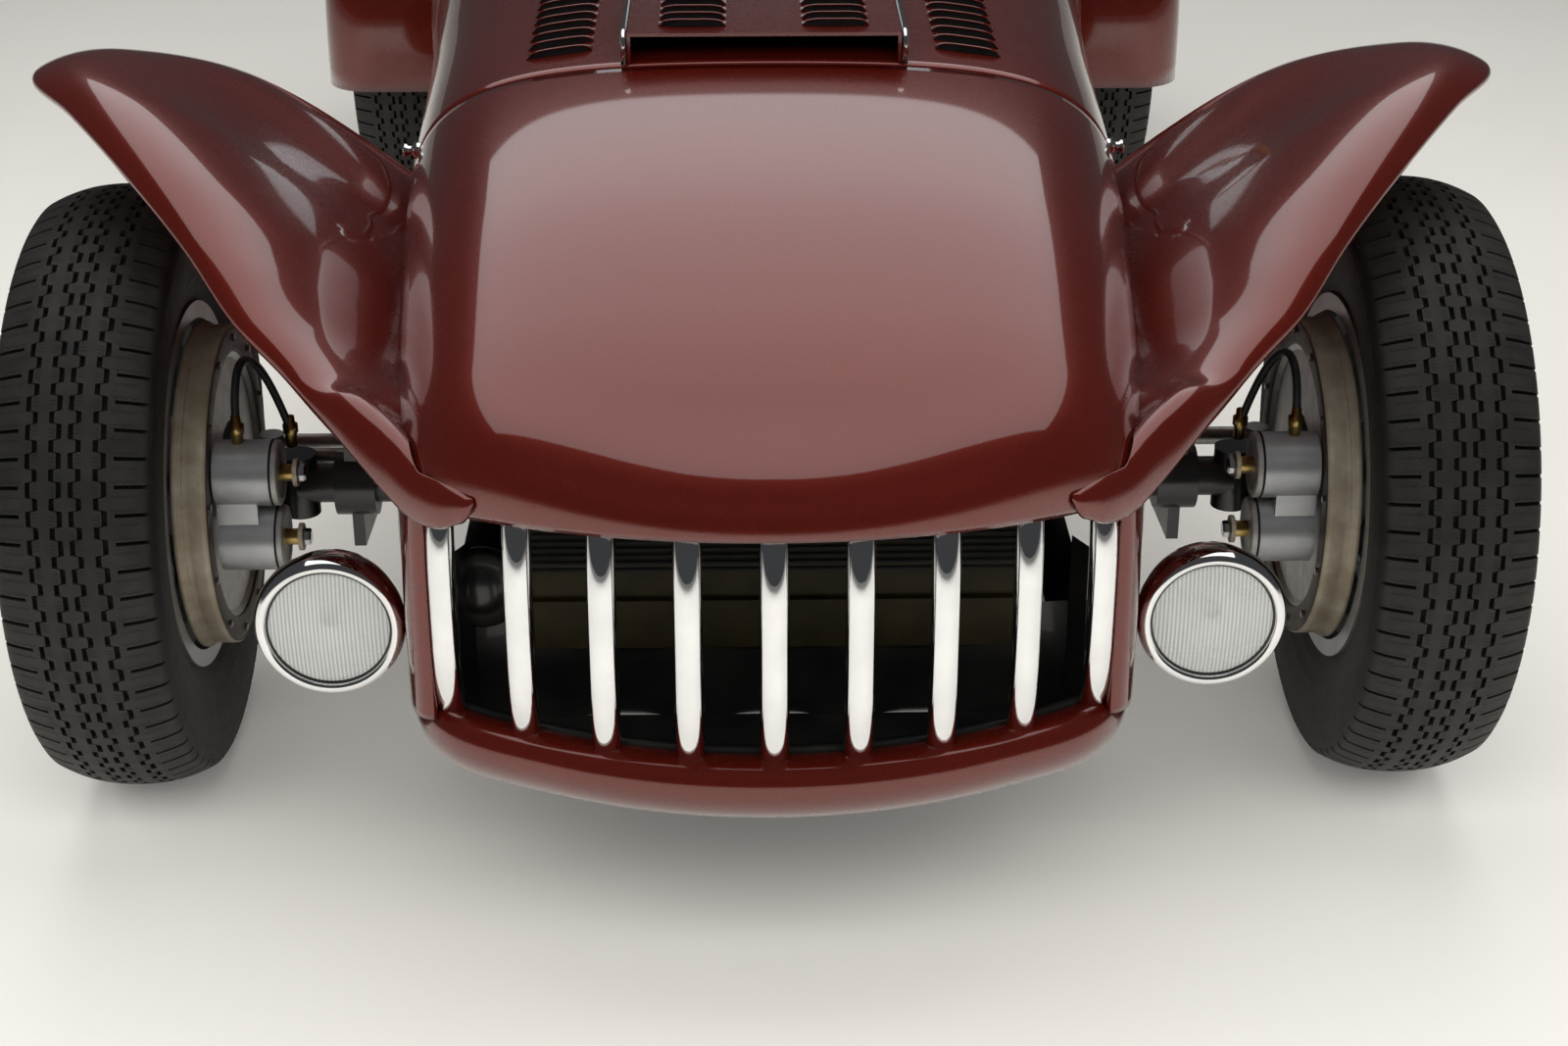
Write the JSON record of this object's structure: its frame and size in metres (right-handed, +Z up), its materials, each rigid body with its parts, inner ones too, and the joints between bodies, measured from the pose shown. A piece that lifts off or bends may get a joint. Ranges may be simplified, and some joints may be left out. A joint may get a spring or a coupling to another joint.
{
  "type": "sports racing car",
  "caption": "Open two-seat vintage sports racing car with a barred grille, sweeping front fenders, drum-ringed disc brakes, ladder frame and front engine.",
  "frame": {"origin": "on the ground, midway between the nose and the tail, on the car's centre plane", "axes": "+X towards the car's left side, +Y towards the tail, +Z up; the nose faces -Y"},
  "size_m": [1.655, 3.64, 1.02],
  "materials": {
    "paint": "gloss",
    "black_paint": "satin",
    "chrome": "polished",
    "steel": "satin",
    "alloy": "cast",
    "iron": "cast",
    "brass": "dull",
    "tyre": "matte",
    "leather": "satin",
    "glass": "clear",
    "red_glass": "clear",
    "wood": "varnished"
  },
  "bodies": {
    "chassis": {"bulkheads": "black_paint", "chin_panel": "paint", "cockpit_body": "paint", "cross_members": "black_paint", "dashboard": "black_paint", "engine_block": "iron", "engine_side_panels": "paint", "exhaust": "steel", "floor_pan": "black_paint", "frame_rails": "black_paint", "front_axle": "black_paint", "front_fender_left": "paint", "front_fender_right": "paint", "front_radius_arms": "black_paint", "fuel_filler": "chrome", "grille_bars": "chrome", "headlamp_lenses": "glass", "headlamp_rims": "chrome", "headlamps": "paint", "nose_cowl": "paint", "propeller_shaft": "steel", "radiator": "brass", "rear_axle": "iron", "rear_fender_left": "paint", "rear_fender_right": "paint", "rear_suspension": "black_paint", "seats": "leather", "steering_column": "black_paint", "tail_body": "paint", "tail_lamps": "red_glass", "transmission_tunnel": "black_paint", "windscreen": "glass"},
    "knuckle_left": {"knuckle_left": "black_paint", "caliper_left": "alloy"},
    "knuckle_right": {"knuckle_right": "black_paint", "caliper_right": "alloy"},
    "front_left_wheel": {"wheel_front_left": "alloy", "tyre_front_left": "tyre", "brake_disc_left": "steel"},
    "front_right_wheel": {"wheel_front_right": "alloy", "tyre_front_right": "tyre", "brake_disc_right": "steel"},
    "rear_left_wheel": {"wheel_rear_left": "alloy", "tyre_rear_left": "tyre"},
    "rear_right_wheel": {"wheel_rear_right": "alloy", "tyre_rear_right": "tyre"},
    "hood_lid": {"hood": "paint", "hood_scoop": "paint"},
    "tie_rod_body": {"tie_rod": "steel"},
    "drag_link_body": {"drag_link": "steel"},
    "pitman_arm_body": {"pitman_arm": "black_paint"},
    "steering_wheel_body": {"steering_wheel": "wood"}
  },
  "joints": [
    {"name": "steer_left", "type": "hinge", "parent": "chassis", "child": "knuckle_left", "pos_m": [0.605, -1.215, 0.3545], "axis": [0, 0, 1], "range_deg": [-24, 24]},
    {"name": "steer_right", "type": "hinge", "parent": "chassis", "child": "knuckle_right", "pos_m": [-0.605, -1.215, 0.3545], "axis": [0, 0, 1], "range_deg": [-24, 24]},
    {"name": "front_left_roll", "type": "hinge", "parent": "knuckle_left", "child": "front_left_wheel", "pos_m": [0.74, -1.215, 0.3545], "axis": [1, 0, 0], "continuous": true},
    {"name": "front_right_roll", "type": "hinge", "parent": "knuckle_right", "child": "front_right_wheel", "pos_m": [-0.74, -1.215, 0.3545], "axis": [1, 0, 0], "continuous": true},
    {"name": "rear_left_roll", "type": "hinge", "parent": "chassis", "child": "rear_left_wheel", "pos_m": [0.67, 1.02, 0.3545], "axis": [1, 0, 0], "continuous": true},
    {"name": "rear_right_roll", "type": "hinge", "parent": "chassis", "child": "rear_right_wheel", "pos_m": [-0.67, 1.02, 0.3545], "axis": [1, 0, 0], "continuous": true},
    {"name": "hood_open", "type": "hinge", "parent": "chassis", "child": "hood_lid", "pos_m": [0, -0.318, 0.878], "axis": [-1, 0, 0], "range_deg": [0, 50]},
    {"name": "tie_rod_pivot", "type": "hinge", "parent": "knuckle_left", "child": "tie_rod_body", "pos_m": [0.605, -1.11, 0.361], "axis": [0, 0, 1], "range_deg": [-24, 24]},
    {"name": "drag_link_pivot", "type": "hinge", "parent": "knuckle_right", "child": "drag_link_body", "pos_m": [-0.605, -1.155, 0.361], "axis": [0, 0, 1], "range_deg": [-24, 24]},
    {"name": "pitman_swing", "type": "hinge", "parent": "chassis", "child": "pitman_arm_body", "pos_m": [0.335, -1.045, 0.382], "axis": [0, 0, 1], "range_deg": [-13, 13]},
    {"name": "steering_wheel_turn", "type": "hinge", "parent": "chassis", "child": "steering_wheel_body", "pos_m": [0.29, 0.117, 0.742], "axis": [-0.0385, 0.9555, 0.2925], "range_deg": [-240, 240]}
  ],
  "couplings": [
    {"joint": "steer_right", "follows": "steer_left", "ratio": 1},
    {"joint": "tie_rod_pivot", "follows": "steer_left", "ratio": -1},
    {"joint": "drag_link_pivot", "follows": "steer_left", "ratio": -1},
    {"joint": "pitman_swing", "follows": "steer_left", "ratio": -0.54},
    {"joint": "steering_wheel_turn", "follows": "steer_left", "ratio": 10}
  ]
}
